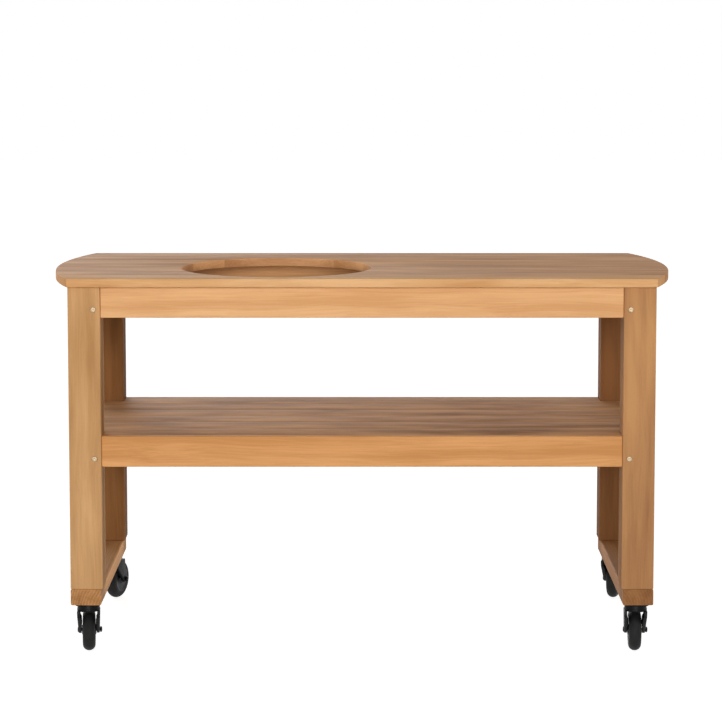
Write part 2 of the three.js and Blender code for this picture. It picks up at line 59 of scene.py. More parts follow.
camera_data = bpy.data.cameras.new("camera")
camera_data.sensor_width = 36
camera_data.lens = 121.43
camera_data.shift_x = -0.00182
camera_data.shift_y = -0.15
camera_data.clip_end = 100
camera = bpy.data.objects.new("camera", camera_data)
camera.location = (camera_aside, middle - half_depth - camera_distance, camera_height)
camera.rotation_euler = (math.radians(90 - camera_tilt), 0, 0)
bpy.context.scene.collection.objects.link(camera)
bpy.context.scene.camera = camera
bpy.context.scene.view_settings.view_transform = "Standard"


# Studio: a white floor and white surroundings. A softbox stands eight metres in front, over the
# camera, weaker lights come level from both ends and from behind, and the walls add a little.
def srgb(hex_colour):
    """Turns an sRGB hex colour to the linear one that the shaders take."""
    channels = []
    for start in (0, 2, 4):
        value = int(hex_colour[start:start + 2], 16) / 255
        channels.append(value / 12.92 if value <= 0.04045 else ((value + 0.055) / 1.055) ** 2.4)
    return (*channels, 1)


def add(tree, kind, settings=None, **inputs):
    """Adds a node with its settings and links. An input is named, or is i and its number."""
    node = tree.nodes.new(kind)
    for name, value in (settings or {}).items():
        setattr(node, name, value)
    for name, value in inputs.items():
        key = int(name[1:]) if name[0] == "i" and name[1:].isdigit() else name.replace("_", " ")
        if isinstance(value, bpy.types.NodeSocket):
            tree.links.new(value, node.inputs[key])
        else:
            node.inputs[key].default_value = value
    return node


def empty_tree(owner):
    """Gives a material or the world a node tree with nothing in it."""
    owner.use_nodes = True
    owner.node_tree.nodes.clear()
    return owner.node_tree


def seen_rays(tree):
    """Is 1 for rays that show the background as it is, and 0 for those that light the table."""
    path = add(tree, "ShaderNodeLightPath")
    seen = path.outputs["Is Camera Ray"]
    for kind in ("Is Glossy Ray", "Is Transmission Ray"):
        seen = add(tree, "ShaderNodeMath", {"operation": "MAXIMUM"}, i0=seen,
                   i1=path.outputs[kind]).outputs[0]
    return seen


def sun(name, energy, softness, elevation, azimuth):
    """Adds a distant lamp. Its angles are in degrees."""
    lamp = bpy.data.lights.new(name, "SUN")
    lamp.energy = energy
    lamp.angle = math.radians(softness)
    light = bpy.data.objects.new(name, lamp)
    light.rotation_euler = (math.radians(90 - elevation), 0, math.radians(azimuth))
    bpy.context.scene.collection.objects.link(light)
    return light


wall_light = 0.32
ceiling_light = 0.26
world = bpy.data.worlds.new("studio")
bpy.context.scene.world = world
tree = empty_tree(world)
direction = add(tree, "ShaderNodeTexCoord")
height = add(tree, "ShaderNodeSeparateXYZ", Vector=direction.outputs["Generated"])
level = add(tree, "ShaderNodeMapRange", {"interpolation_type": "SMOOTHSTEP"},
            Value=height.outputs["Z"], From_Min=0.05, From_Max=0.75,
            To_Min=wall_light, To_Max=ceiling_light)
strength = add(tree, "ShaderNodeMix", {"data_type": "FLOAT"}, i0=seen_rays(tree),
               i2=level.outputs["Result"], i3=1.0)
surround = add(tree, "ShaderNodeBackground", Color=srgb("ffffff"), Strength=strength.outputs[0])
add(tree, "ShaderNodeOutputWorld", Surface=surround.outputs[0])

softbox_tilt = 4                             # degrees down from level
lamp = bpy.data.lights.new("front_softbox", "AREA")
lamp.shape = "RECTANGLE"
lamp.size = 4.6
lamp.size_y = 2.2
lamp.energy = 82
lamp.spread = math.radians(60)               # its light falls off a little towards the floor
softbox = bpy.data.objects.new("front_softbox", lamp)
softbox.location = (0, -8.3, 2.4)
softbox.rotation_euler = (math.radians(90 - softbox_tilt), 0, 0)
bpy.context.scene.collection.objects.link(softbox)
sun("back_light", 1.0, softness=40, elevation=16, azimuth=200)
for name, azimuth in (("left_side_light", -90), ("right_side_light", 90)):
    side_light = sun(name, 1.2, softness=3, elevation=1.5, azimuth=azimuth)
    side_light.visible_glossy = False        # or level boards would glare at a flat angle

floor_size = 40
floor_height = -0.0004                       # just clear of the wheels
bpy.ops.object.select_all(action="DESELECT")
bpy.ops.mesh.primitive_plane_add(size=floor_size, location=(0, 0, floor_height))
floor = bpy.context.active_object
floor.name = "floor"
paper = bpy.data.materials.new("white_paper_floor")
tree = empty_tree(paper)
matt = add(tree, "ShaderNodeBsdfDiffuse", Color=srgb("d3d3d3"))
glow = add(tree, "ShaderNodeEmission", Color=srgb("ffffff"), Strength=0.82)
both = add(tree, "ShaderNodeAddShader", i0=matt.outputs[0], i1=glow.outputs[0])
shown = add(tree, "ShaderNodeMixShader", i0=seen_rays(tree), i1=matt.outputs[0], i2=both.outputs[0])
add(tree, "ShaderNodeOutputMaterial", Surface=shown.outputs[0])
floor.data.materials.append(paper)


# Caster wheels: a core of moulded black polyamide with a dished web and a raised hub, and a
# domed tread of black rubber bonded round it. All four are alike.
corners = ("front_left", "front_right", "back_left", "back_right")
joints = {joint["name"]: joint for joint in frame["joints"]}
axle_height = joints["front_left_wheel_spin"]["pos_m"][2]
trail = 0.030                                # the axle's distance behind the kingpin
smooth_angle = math.radians(32)              # sharper edges than this stay crisp


def alone(*pieces):
    """Selects these pieces and nothing else."""
    if bpy.context.object and bpy.context.object.mode != "OBJECT":
        bpy.ops.object.mode_set(mode="OBJECT")
    bpy.ops.object.select_all(action="DESELECT")
    for piece in pieces:
        piece.select_set(True)
    bpy.context.view_layer.objects.active = pieces[0]


def outline(name, points):
    """Draws a line from point to point, and stays in edit mode with all of it selected."""
    bpy.ops.object.select_all(action="DESELECT")
    bpy.ops.mesh.primitive_plane_add(size=0.002, location=(0, 0, 0))
    piece = bpy.context.active_object
    piece.name = name
    bpy.ops.object.mode_set(mode="EDIT")
    bpy.ops.mesh.select_mode(type="VERT")
    bpy.ops.mesh.select_all(action="SELECT")
    bpy.ops.mesh.merge(type="CENTER")
    bpy.ops.transform.translate(value=points[0])
    for start, end in zip(points, points[1:]):
        bpy.ops.mesh.extrude_vertices_move(
            TRANSFORM_OT_translate={"value": [b - a for a, b in zip(start, end)]})
    bpy.ops.mesh.select_all(action="SELECT")
    return piece


def turned(name, points, centre, axis, steps):
    """Spins an outline all the way round an axis."""
    piece = outline(name, points)
    bpy.ops.mesh.spin(steps=steps, dupli=False, angle=math.tau, center=centre, axis=axis)
    bpy.ops.mesh.select_all(action="SELECT")
    bpy.ops.mesh.remove_doubles(threshold=2e-6)
    bpy.ops.mesh.normals_make_consistent(inside=False)
    bpy.ops.object.mode_set(mode="OBJECT")
    return piece


def turned_on_axle(name, profile, steps):
    """Turns a profile, given in millimetres along the axle and out from it."""
    points = [(x / 1000, trail, axle_height + r / 1000) for x, r in profile]
    return turned(name, points, (0, trail, axle_height), (1, 0, 0), steps)


def rounded(piece, width, segments=2, angle=40):
    """Rounds the sharp edges and smooths the shading."""
    alone(piece)
    bevel = piece.modifiers.new("edges", "BEVEL")
    bevel.width = width
    bevel.segments = segments
    bevel.limit_method = "ANGLE"
    bevel.angle_limit = math.radians(angle)
    bevel.use_clamp_overlap = False
    bpy.ops.object.modifier_apply(modifier=bevel.name)
    bpy.ops.object.shade_smooth_by_angle(angle=smooth_angle)


def copy_of(piece, name, place, turn):
    """Copies a piece with its own mesh, turned about the vertical and moved, and applies that."""
    copy = piece.copy()
    copy.data = piece.data.copy()
    copy.name = name
    bpy.context.scene.collection.objects.link(copy)
    copy.location = place
    copy.rotation_euler = (0, 0, turn)
    alone(copy)
    bpy.ops.object.transform_apply(location=True, rotation=True, scale=True)
    return copy


def caster_copy(piece, part, corner, body):
    """Sets one copy of a caster's piece in its corner, turned as the swivel stands."""
    pivot = joints[f"{corner}_swivel_turn"]["pos_m"]
    axle_line = joints[f"{corner}_wheel_spin"]["axis"]
    turn = math.atan2(axle_line[1], axle_line[0]) if body != "table_frame" else 0
    copy = copy_of(piece, f"{corner}_{part}", (pivot[0], pivot[1], 0), turn)
    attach(copy, body)
    return copy


half_core = [(17.0, 4.2), (17.0, 10.6), (16.3, 11.6), (14.4, 12.3), (13.1, 14.2), (12.7, 18),
             (12.7, 25), (13.1, 28.6), (14.2, 30.6), (14.6, 32.6), (14.2, 33.7)]
core_profile = [(-x, r) for x, r in half_core] + [(x, r) for x, r in reversed(half_core)]
core_profile.append(core_profile[0])
core = turned_on_axle("wheel_core", core_profile, 64)
rounded(core, 0.0004)

tread_half_width = 14.9                      # millimetres, as all the profiles
tread_shoulder = 36
tread_crown = axle_height * 1000 - tread_shoulder     # so it just reaches the floor under the axle
quarter_steps = 12
tread_profile = [(-13.6, 32.6), (-14.7, 33.9)]
for step in range(-quarter_steps, quarter_steps + 1):
    angle = math.radians(90 * step / quarter_steps)
    tread_profile.append((tread_half_width * math.sin(angle),
                          tread_shoulder + tread_crown * math.cos(angle)))
tread_profile += [(14.7, 33.9), (13.6, 32.6), (-13.6, 32.6)]
tread = turned_on_axle("wheel_tread", tread_profile, 80)
rounded(tread, 0.0003)

# Rubber is matt and scatters a little light at a flat angle. Its moulded skin has a fine grit,
# drawn 1.2 mm wide, and dust on it varies the gloss in patches of 20 mm.
rubber = bpy.data.materials.new("moulded_black_rubber")
tree = empty_tree(rubber)
place = add(tree, "ShaderNodeTexCoord")
grit = add(tree, "ShaderNodeTexNoise", Vector=place.outputs["Object"], Scale=800, Detail=2)
patches = add(tree, "ShaderNodeTexNoise", Vector=place.outputs["Object"], Scale=50, Detail=3)
gloss = add(tree, "ShaderNodeMapRange", Value=patches.outputs["Fac"], From_Min=0.3, From_Max=0.7,
            To_Min=0.62, To_Max=0.8)
colour = add(tree, "ShaderNodeMix", {"data_type": "RGBA"}, i0=patches.outputs["Fac"],
             i6=srgb("0b0b0b"), i7=srgb("141413"))
bump = add(tree, "ShaderNodeBump", Height=grit.outputs["Fac"], Strength=0.25, Distance=0.0002)
surface = add(tree, "ShaderNodeBsdfPrincipled", Base_Color=colour.outputs[2],
              Roughness=gloss.outputs[0], Normal=bump.outputs[0], IOR=1.5, Specular_IOR_Level=0.25)
add(tree, "ShaderNodeOutputMaterial", Surface=surface.outputs[0])

# Moulded polyamide is harder and smoother than the tread, with a faint orange peel 3 mm wide.
polyamide = bpy.data.materials.new("moulded_black_polyamide")
tree = empty_tree(polyamide)
place = add(tree, "ShaderNodeTexCoord")
peel = add(tree, "ShaderNodeTexNoise", Vector=place.outputs["Object"], Scale=330, Detail=2)
patches = add(tree, "ShaderNodeTexNoise", Vector=place.outputs["Object"], Scale=60, Detail=2)
gloss = add(tree, "ShaderNodeMapRange", Value=patches.outputs["Fac"], From_Min=0.3, From_Max=0.7,
            To_Min=0.42, To_Max=0.55)
colour = add(tree, "ShaderNodeMix", {"data_type": "RGBA"}, i0=patches.outputs["Fac"],
             i6=srgb("070708"), i7=srgb("0e0e0f"))
bump = add(tree, "ShaderNodeBump", Height=peel.outputs["Fac"], Strength=0.15, Distance=0.0002)
surface = add(tree, "ShaderNodeBsdfPrincipled", Base_Color=colour.outputs[2],
              Roughness=gloss.outputs[0], Normal=bump.outputs[0], IOR=1.53, Specular_IOR_Level=0.25)
add(tree, "ShaderNodeOutputMaterial", Surface=surface.outputs[0])
core.data.materials.append(polyamide)
tread.data.materials.append(rubber)

for corner in corners:
    for piece, part in ((core, "wheel_core"), (tread, "wheel_tread")):
        wheel = caster_copy(piece, part, corner, f"{corner}_wheel")
        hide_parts(f"{corner}_wheel")
bpy.data.objects.remove(core)
bpy.data.objects.remove(tread)


# Caster forks: pressed from sheet steel. The crown carries a cup round the ball race, and both
# legs are trays with turned edges, which narrow to a round end about the axle.
crown_bottom = 0.104
crown_radius = 0.0274
leg_lean = 0.002                             # how far a leg leans in on its way down to the axle
sheet_thickness = 0.0024
bend_radius = 0.0022
edge_depth = 0.007                           # of the turned edges, from the leg's outer face
edge_swell = 0.0026                          # more than that half way down, where they are deepest
swell_low = axle_height + 0.010
swell_high = 0.085
boss_radius = 0.0085
boss_steps = 12


def turned_upright(name, profile, steps, x=0, y=0, base=0):
    """Turns a profile, given in millimetres out from an upright line and up from a base."""
    points = [(x + r / 1000, y, base + z / 1000) for r, z in profile]
    return turned(name, points, (x, y, 0), (0, 0, 1), steps)


def leg_face(z):
    """How far a leg's outer face stands from the middle at this height."""
    return crown_radius - leg_lean * (crown_bottom - z) / (crown_bottom - axle_height)


crown = turned_upright("fork", [
    (5.4, 104), (25.6, 104), (26.9, 104.6), (27.4, 106), (27.4, 108.6), (27.0, 109.9),
    (26.4, 110.6), (26.4, 119.2), (24.7, 119.4), (24.7, 107), (5.4, 107), (5.4, 104)], 64)
rounded(crown, 0.0005)

# A leg's outline from the side: down its trailing edge, round the boss and up its leading edge.
rim = [(0.023, 0.1055), (0.0262, 0.090), (0.0287, 0.0845), (0.037, 0.066)]
for step in range(boss_steps + 1):
    angle = math.radians(20 - 160 * step / boss_steps)
    rim.append((trail + boss_radius * math.cos(angle), axle_height + boss_radius * math.sin(angle)))
rim += [(0.0028, 0.0655), (-0.0157, 0.0845), (-0.021, 0.090), (-0.021, 0.1055)]

legs = []
for sign in (-1, 1):
    leg = outline("fork_leg", [(sign * leg_face(z), y, z) for y, z in rim])
    bpy.ops.mesh.edge_face_add()
    bpy.ops.mesh.extrude_region_move(TRANSFORM_OT_translate={"value": (-sign * edge_depth, 0, 0)})
    bpy.ops.mesh.delete(type="ONLY_FACE")
    bpy.ops.mesh.select_all(action="DESELECT")
    bpy.ops.object.mode_set(mode="OBJECT")
    for vertex in leg.data.vertices:
        at_edge = abs(vertex.co.x) < leg_face(vertex.co.z) - edge_depth / 2
        vertex.select = at_edge and swell_low < vertex.co.z < swell_high
    bpy.ops.object.mode_set(mode="EDIT")
    bpy.ops.transform.translate(value=(-sign * edge_swell, 0, 0))
    bpy.ops.object.mode_set(mode="OBJECT")
    for edge in leg.data.edges:
        ends = [leg.data.vertices[number].co for number in edge.vertices]
        edge.select = all(abs(abs(end.x) - leg_face(end.z)) < 0.0001 for end in ends)
    bpy.ops.object.mode_set(mode="EDIT")
    bpy.ops.mesh.select_mode(type="EDGE")
    bpy.ops.mesh.bevel(offset=bend_radius, segments=4, affect="EDGES")
    bpy.ops.mesh.select_all(action="SELECT")
    bpy.ops.mesh.normals_make_consistent(inside=False)
    bpy.ops.object.mode_set(mode="OBJECT")
    alone(leg)
    wall = leg.modifiers.new("sheet", "SOLIDIFY")
    wall.thickness = sheet_thickness
    wall.offset = -1
    bpy.ops.object.modifier_apply(modifier=wall.name)
    rounded(leg, 0.0003, angle=60)
    legs.append(leg)
alone(crown, *legs)
bpy.ops.object.join()
fork = bpy.context.active_object

# Black zinc under clear lacquer: dark, with a soft broad highlight. The sheet's rolled skin is
# slightly uneven, in waves about 12 mm long, with specks in the lacquer drawn 1 mm wide.
lacquer = bpy.data.materials.new("black_zinc_plated_steel")
tree = empty_tree(lacquer)
place = add(tree, "ShaderNodeTexCoord")
waves = add(tree, "ShaderNodeTexNoise", Vector=place.outputs["Object"], Scale=80, Detail=3)
specks = add(tree, "ShaderNodeTexNoise", Vector=place.outputs["Object"], Scale=900, Detail=2)
gloss = add(tree, "ShaderNodeMapRange", Value=waves.outputs["Fac"], From_Min=0.3, From_Max=0.7,
            To_Min=0.34, To_Max=0.5)
colour = add(tree, "ShaderNodeMix", {"data_type": "RGBA"}, i0=waves.outputs["Fac"],
             i6=srgb("040405"), i7=srgb("0b0b0c"))
bump = add(tree, "ShaderNodeBump", Height=specks.outputs["Fac"], Strength=0.1, Distance=0.0001)
surface = add(tree, "ShaderNodeBsdfPrincipled", Base_Color=colour.outputs[2],
              Roughness=gloss.outputs[0], Normal=bump.outputs[0], IOR=1.5, Specular_IOR_Level=0.12)
add(tree, "ShaderNodeOutputMaterial", Surface=surface.outputs[0])
fork.data.materials.clear()
fork.data.materials.append(lacquer)
for corner in corners:
    piece = caster_copy(fork, "swivel_fork", corner, f"{corner}_swivel")
    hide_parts(f"{corner}_fork")
bpy.data.objects.remove(fork)


# Axles: a plain steel bolt through the fork, with a low round head on the left and a hexagon
# nut on the right, in the same black finish as the fork.
nut_radius = 0.007
nut_thickness = 0.0042
nut_middle = 0.0281
shank = turned_on_axle("axle", [(-27.8, 0), (-27.7, 3.2), (-27.2, 5.6), (-26.0, 6.9), (-25.7, 6.9),
                                (-25.7, 4), (30.4, 4), (31.0, 3.3), (31.0, 0)], 32)
rounded(shank, 0.0002)
bpy.ops.object.select_all(action="DESELECT")
bpy.ops.mesh.primitive_cylinder_add(vertices=6, radius=nut_radius, depth=nut_thickness,
                                    rotation=(0, math.pi / 2, 0),
                                    location=(nut_middle, trail, axle_height))
nut = bpy.context.active_object
bpy.ops.object.transform_apply(location=True, rotation=True, scale=True)
rounded(nut, 0.0005, 3)
alone(shank, nut)
bpy.ops.object.join()
axle = bpy.context.active_object
axle.data.materials.clear()
axle.data.materials.append(lacquer)
for corner in corners:
    piece = caster_copy(axle, "wheel_axle", corner, f"{corner}_swivel")
    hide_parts(f"{corner}_axle")
bpy.data.objects.remove(axle)


# Caster plates: sheet steel with round corners. The race and the kingpin are riveted to them,
# and four pan head screws hold each one under its foot rail.
plate_width = 0.055
plate_length = 0.070
plate_bottom = 0.1212
plate_thickness = 0.0025
plate_corner = 0.007
screw_x = 0.0185
screw_y = 0.027
bpy.ops.object.select_all(action="DESELECT")
bpy.ops.mesh.primitive_plane_add(size=1, location=(0, 0, 0))
plate = bpy.context.active_object
bpy.ops.object.mode_set(mode="EDIT")
bpy.ops.mesh.select_all(action="SELECT")
bpy.ops.transform.resize(value=(plate_width, plate_length, 1))
bpy.ops.transform.translate(value=(0, 0, plate_bottom))
bpy.ops.mesh.bevel(offset=plate_corner, segments=6, affect="VERTICES")
bpy.ops.mesh.select_all(action="SELECT")
bpy.ops.mesh.extrude_region_move(TRANSFORM_OT_translate={"value": (0, 0, plate_thickness)})
bpy.ops.mesh.select_all(action="SELECT")
bpy.ops.mesh.normals_make_consistent(inside=False)
bpy.ops.object.mode_set(mode="OBJECT")
rounded(plate, 0.0005)
race = turned_upright("race", [(12, 111), (20.2, 111), (22.4, 111.9), (23.4, 114), (23.4, 121.4),
                               (12, 121.4), (12, 111)], 48)
kingpin = turned_upright("kingpin", [(0, 99.5), (5.6, 99.5), (7.9, 100.3), (9, 101.9), (9, 103.6),
                                     (5, 103.7), (5, 121.4), (0, 121.4)], 32)
rounded(kingpin, 0.0003)
screw_profile = [(0, -1.5), (0.9, -1.6), (1.1, -2.2), (2.6, -2.1), (3.9, -1.4), (4.4, -0.4),
                 (4.4, 0.1), (2.2, 0.1), (2.2, 6), (0, 6)]
screws = [turned_upright("screw", screw_profile, 24, x, y, plate_bottom)
          for x in (-screw_x, screw_x) for y in (-screw_y, screw_y)]
alone(plate, race, kingpin, *screws)
bpy.ops.object.join()
plate = bpy.context.active_object
bpy.ops.object.shade_smooth_by_angle(angle=smooth_angle)
plate.data.materials.clear()
plate.data.materials.append(lacquer)
for corner in corners:
    piece = caster_copy(plate, "top_plate", corner, "table_frame")
    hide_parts(f"{corner}_caster_plate")
bpy.data.objects.remove(plate)


# Foot rails: planed hardwood, oiled, lying across the table's ends under the posts.
# Their front ends show the growth rings end on, the left one more plainly.
one_ring_a_metre = 0.314159                  # the wave texture's scale that gives this


def oiled_hardwood(name, grain, pith, pale, dark, ring=0.009, rings=0.3, wander=0.04, fibre=1.3,
                   streak=(1.6, 34), gloss=0.62, sheen=0.3, routed=False):
    """Planed and oiled hardwood, with its grain along one axis. Growth rings run round the pith and
    fade in and out, plainest on the cut ends. Fibres, pores and cloudy streaks follow the grain.
    The oil gives a soft sheen that the fibres break up. The ring width and wander are in metres."""
    material = bpy.data.materials.new(name)
    tree = empty_tree(material)
    order = {"x": (0, 1, 2), "y": (1, 0, 2), "z": (2, 0, 1)}[grain]
    place = add(tree, "ShaderNodeTexCoord")
    split = add(tree, "ShaderNodeSeparateXYZ", Vector=place.outputs["Object"])
    along = add(tree, "ShaderNodeCombineXYZ", X=split.outputs[order[0]], Y=split.outputs[order[1]],
                Z=split.outputs[order[2]])
    log = add(tree, "ShaderNodeVectorMath", {"operation": "SUBTRACT"}, i0=along.outputs[0],
              i1=[pith[axis] for axis in order])

    def noise(vector, length, width, detail, roughness=0.5, result="Fac"):
        """Noise stretched along the grain, with so many patches a metre along and across it."""
        stretched = add(tree, "ShaderNodeVectorMath", {"operation": "MULTIPLY"}, i0=vector,
                        i1=(length, width, width))
        texture = add(tree, "ShaderNodeTexNoise", Vector=stretched.outputs[0], Scale=1,
                      Detail=detail, Roughness=roughness)
        return texture.outputs[result]

    # The rings wander slowly along the log, by several millimetres.
    offset = add(tree, "ShaderNodeVectorMath", {"operation": "SUBTRACT"},
                 i0=noise(log.outputs[0], 2.4, 9, 2, result="Color"), i1=(0.5, 0.5, 0.5))
    offset = add(tree, "ShaderNodeVectorMath", {"operation": "MULTIPLY"}, i0=offset.outputs[0],
                 i1=(0, wander, wander))
    bent = add(tree, "ShaderNodeVectorMath", {"operation": "ADD"}, i0=log.outputs[0],
               i1=offset.outputs[0])
    growth = add(tree, "ShaderNodeTexWave",
                 {"wave_type": "RINGS", "rings_direction": "X", "wave_profile": "SIN"},
                 Vector=bent.outputs[0], Scale=one_ring_a_metre / ring, Distortion=0.8, Detail=2,
                 Detail_Scale=1.5)

    # Fibres are under a millimetre wide. They are drawn about 3 mm wide, or they would not show.
    fibres = noise(bent.outputs[0], 7, 300, 4, 0.6)
    streaks = noise(bent.outputs[0], streak[0], streak[1], 3)
    clouds = noise(log.outputs[0], 2.5, 9, 2)
    pores = add(tree, "ShaderNodeMapRange", Value=noise(bent.outputs[0], 70, 1500, 1),
                From_Min=0.62, From_Max=0.72)

    # Cut ends show the rings in full and planed faces a third of it. A routed board has cut edges
    # all round, which are the faces that stand upright.
    faces = add(tree, "ShaderNodeSeparateXYZ", Vector=place.outputs["Normal"])
    across, start, full = (2, 0.45, 0.1) if routed else (order[0], 0.55, 0.9)
    facing = add(tree, "ShaderNodeMath", {"operation": "ABSOLUTE"}, i0=faces.outputs[across])
    ends = add(tree, "ShaderNodeMapRange", Value=facing.outputs[0], From_Min=start, From_Max=full)
    plain = add(tree, "ShaderNodeMapRange", Value=ends.outputs[0], To_Min=0.3, To_Max=1)
    fade = add(tree, "ShaderNodeMapRange", Value=noise(bent.outputs[0], 1.3, 16, 2),
               From_Min=0.35, From_Max=0.65)
    level = add(tree, "ShaderNodeMath", {"operation": "SUBTRACT"}, i0=growth.outputs["Fac"], i1=0.5)
    for weakening in (fade, plain):
        level = add(tree, "ShaderNodeMath", {"operation": "MULTIPLY"}, i0=level.outputs[0],
                    i1=weakening.outputs[0])

    # The layers add up about a middle tone, between the wood's dark and its pale colour.
    layers = ((fibres, fibre), (streaks, 2.0), (clouds, 1.5))
    tone = add(tree, "ShaderNodeMath", {"operation": "MULTIPLY_ADD"}, i0=level.outputs[0], i1=rings,
               i2=0.5 - sum(weight for _, weight in layers) / 2)
    for layer, weight in layers:
        tone = add(tree, "ShaderNodeMath", {"operation": "MULTIPLY_ADD"}, i0=layer, i1=weight,
                   i2=tone.outputs[0])
    tone = add(tree, "ShaderNodeMath", {"operation": "MULTIPLY_ADD", "use_clamp": True},
               i0=pores.outputs[0], i1=-0.2, i2=tone.outputs[0])
    colour = add(tree, "ShaderNodeMix", {"data_type": "RGBA"}, i0=tone.outputs[0], i6=srgb(dark),
                 i7=srgb(pale))

    # Cut ends and routed edges drink more oil, so they are darker.
    soaked = add(tree, "ShaderNodeMix", {"data_type": "RGBA", "blend_type": "MULTIPLY"},
                 i0=ends.outputs[0], i6=colour.outputs[2], i7=srgb("ece5dd"))

    relief = add(tree, "ShaderNodeMath", {"operation": "MULTIPLY_ADD"}, i0=pores.outputs[0],
                 i1=-1.0, i2=fibres)
    grain_bump = add(tree, "ShaderNodeBump", Height=relief.outputs[0], Strength=0.35,
                     Distance=0.0002)
    roughness = add(tree, "ShaderNodeMapRange", Value=fibres, From_Min=0.3, From_Max=0.7,
                    To_Min=gloss - 0.05, To_Max=gloss + 0.07)
    surface = add(tree, "ShaderNodeBsdfPrincipled", Base_Color=soaked.outputs[2],
                  Roughness=roughness.outputs[0], Normal=grain_bump.outputs[0], IOR=1.45,
                  Specular_IOR_Level=sheen)
    add(tree, "ShaderNodeOutputMaterial", Surface=surface.outputs[0])
    return material


def finish_node(node_name, material):
    """Gives a solid its finish."""
    for material_slot in frame["nodes"][node_name].material_slots:
        material_slot.material = material


rail_looks = {"left": ("d39e68", "a67649", 1.0), "right": ("aa794c", "875b37", 0.35)}
for side, (pale, dark, rings) in rail_looks.items():
    sign = -1 if side == "left" else 1
    pith = (sign * 0.54, sign * 0.3, 0.10)
    wood = oiled_hardwood(f"oiled_hardwood_{side}_foot_rail", "y", pith, pale, dark, ring=0.0065,
                          rings=rings, wander=0.02, sheen=0.15)
    finish_node(f"{side}_foot_rail", wood)


# Posts: square hardwood, 76 mm across, mortised for the aprons and rails, with a stub tenon in
# the foot rail. The right hand pair is redder. The back pair's colours are darkened: painted
# shade, for they stand in shade behind the front posts and under the top.
post_tones_and_painted_shade = {"front_left": ("d3a472", "ad8051"), "front_right": ("bd8b5a", "976845"),
              # the back pair: colours darkened with painted shade
              "back_left": ("9c6a3d", "724a27"), "back_right": ("8f5f38", "6b4424")}
for corner, (pale, dark) in post_tones_and_painted_shade.items():
    low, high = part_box(f"{corner}_post")
    inward = 1 if "left" in corner else -1
    pith = ((low.x + high.x) / 2 + 0.09 * inward, low.y + 0.12, low.z + 0.37)
    wood = oiled_hardwood(f"oiled_hardwood_{corner}_post", "z", pith, pale, dark, fibre=0.6,
                          streak=(2.2, 30), gloss=0.7, sheen=0.12)
    finish_node(f"{corner}_post", wood)


# Aprons: long boards tenoned into the posts, in front and behind, at the top and at the shelf.
# They are planed and oiled, and the front ones are paler and more golden than the rest. The front
# shelf apron is a little darker than the front apron: painted shade, for the light falling off
# towards the floor.
apron_tones_and_painted_shade = {"front_apron": ("e2b07c", "cb945e"), "back_apron": ("d2a06c", "b08050"),
               # the front shelf apron: a little darker, painted shade of the light falling off
               # lower down
               "front_shelf_apron": ("dca065", "c08449"), "back_shelf_apron": ("cf9f6f", "b3855a")}
for number, (apron, (pale, dark)) in enumerate(apron_tones_and_painted_shade.items()):
    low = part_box(apron)[0]
    pith = (0.31 * number, low.y - 0.05, low.z - 0.14)
    finish_node(apron, oiled_hardwood(f"oiled_hardwood_{apron}", "x", pith, pale, dark))


# Side rails: shorter boards tenoned between the posts of each end, planed and oiled.
# The lower ones are rebated, and carry the ends of the shelf boards.
side_rails = ("left_side_rail", "right_side_rail", "left_shelf_rail", "right_shelf_rail")
for number, rail in enumerate(side_rails):
    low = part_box(rail)[0]
    pith = (low.x - 0.06, 0.2 * number, low.z - 0.11)
    finish_node(rail, oiled_hardwood(f"oiled_hardwood_{rail}", "y", pith, "cf9f6c", "ad7f50"))


# Shelf: boards laid side by side along the table, on two battens and the rebates of the side
# rails. Their edges are eased, and the first and the last one are notched round the posts.
shelf_board_count = 6
notch_x = 0.6112                             # the notches' inner sides, from the table's middle
notch_y = 0.2312
past_x = 0.8                                 # the saw cuts run out well past the boards
past_y = 0.4
past_z = 0.1


def block(name, low, high):
    """A sawn block from one corner to the other."""
    bpy.ops.object.select_all(action="DESELECT")
    bpy.ops.mesh.primitive_cube_add(size=1, location=(0, 0, 0))
    piece = bpy.context.active_object
    piece.name = name
    bpy.ops.object.mode_set(mode="EDIT")
    bpy.ops.mesh.select_all(action="SELECT")
    bpy.ops.transform.resize(value=[b - a for a, b in zip(low, high)])
    bpy.ops.transform.translate(value=[(a + b) / 2 for a, b in zip(low, high)])
    bpy.ops.object.mode_set(mode="OBJECT")
    return piece


def cut(piece, cutter, operation="DIFFERENCE"):
    """Cuts the cutter's shape away, or with INTERSECT what is outside it."""
    alone(piece)
    saw = piece.modifiers.new("saw", "BOOLEAN")
    saw.operation = operation
    saw.solver = "EXACT"
    saw.object = cutter
    bpy.ops.object.modifier_apply(modifier=saw.name)


def lay_board(piece, name, node, material):
    """Eases the edges of a finished board and lays it in the table in place of its node."""
    rounded(piece, 0.0015, 3)
    piece.name = name
    piece.data.materials.clear()
    piece.data.materials.append(material)
    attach(piece, "table_frame")
    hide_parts(node)


def finish_batten(group, number):
    """Finishes a batten, which lies across under the boards with its grain along it."""
    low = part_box(f"{group}_{number}")[0]
    pith = (low.x - 0.04, 0.3 * number, low.z - 0.09)
    wood = oiled_hardwood(f"oiled_hardwood_{group}_{number}", "y", pith, "cc9a68", "aa7c4f")
    finish_node(f"{group}_{number}", wood)


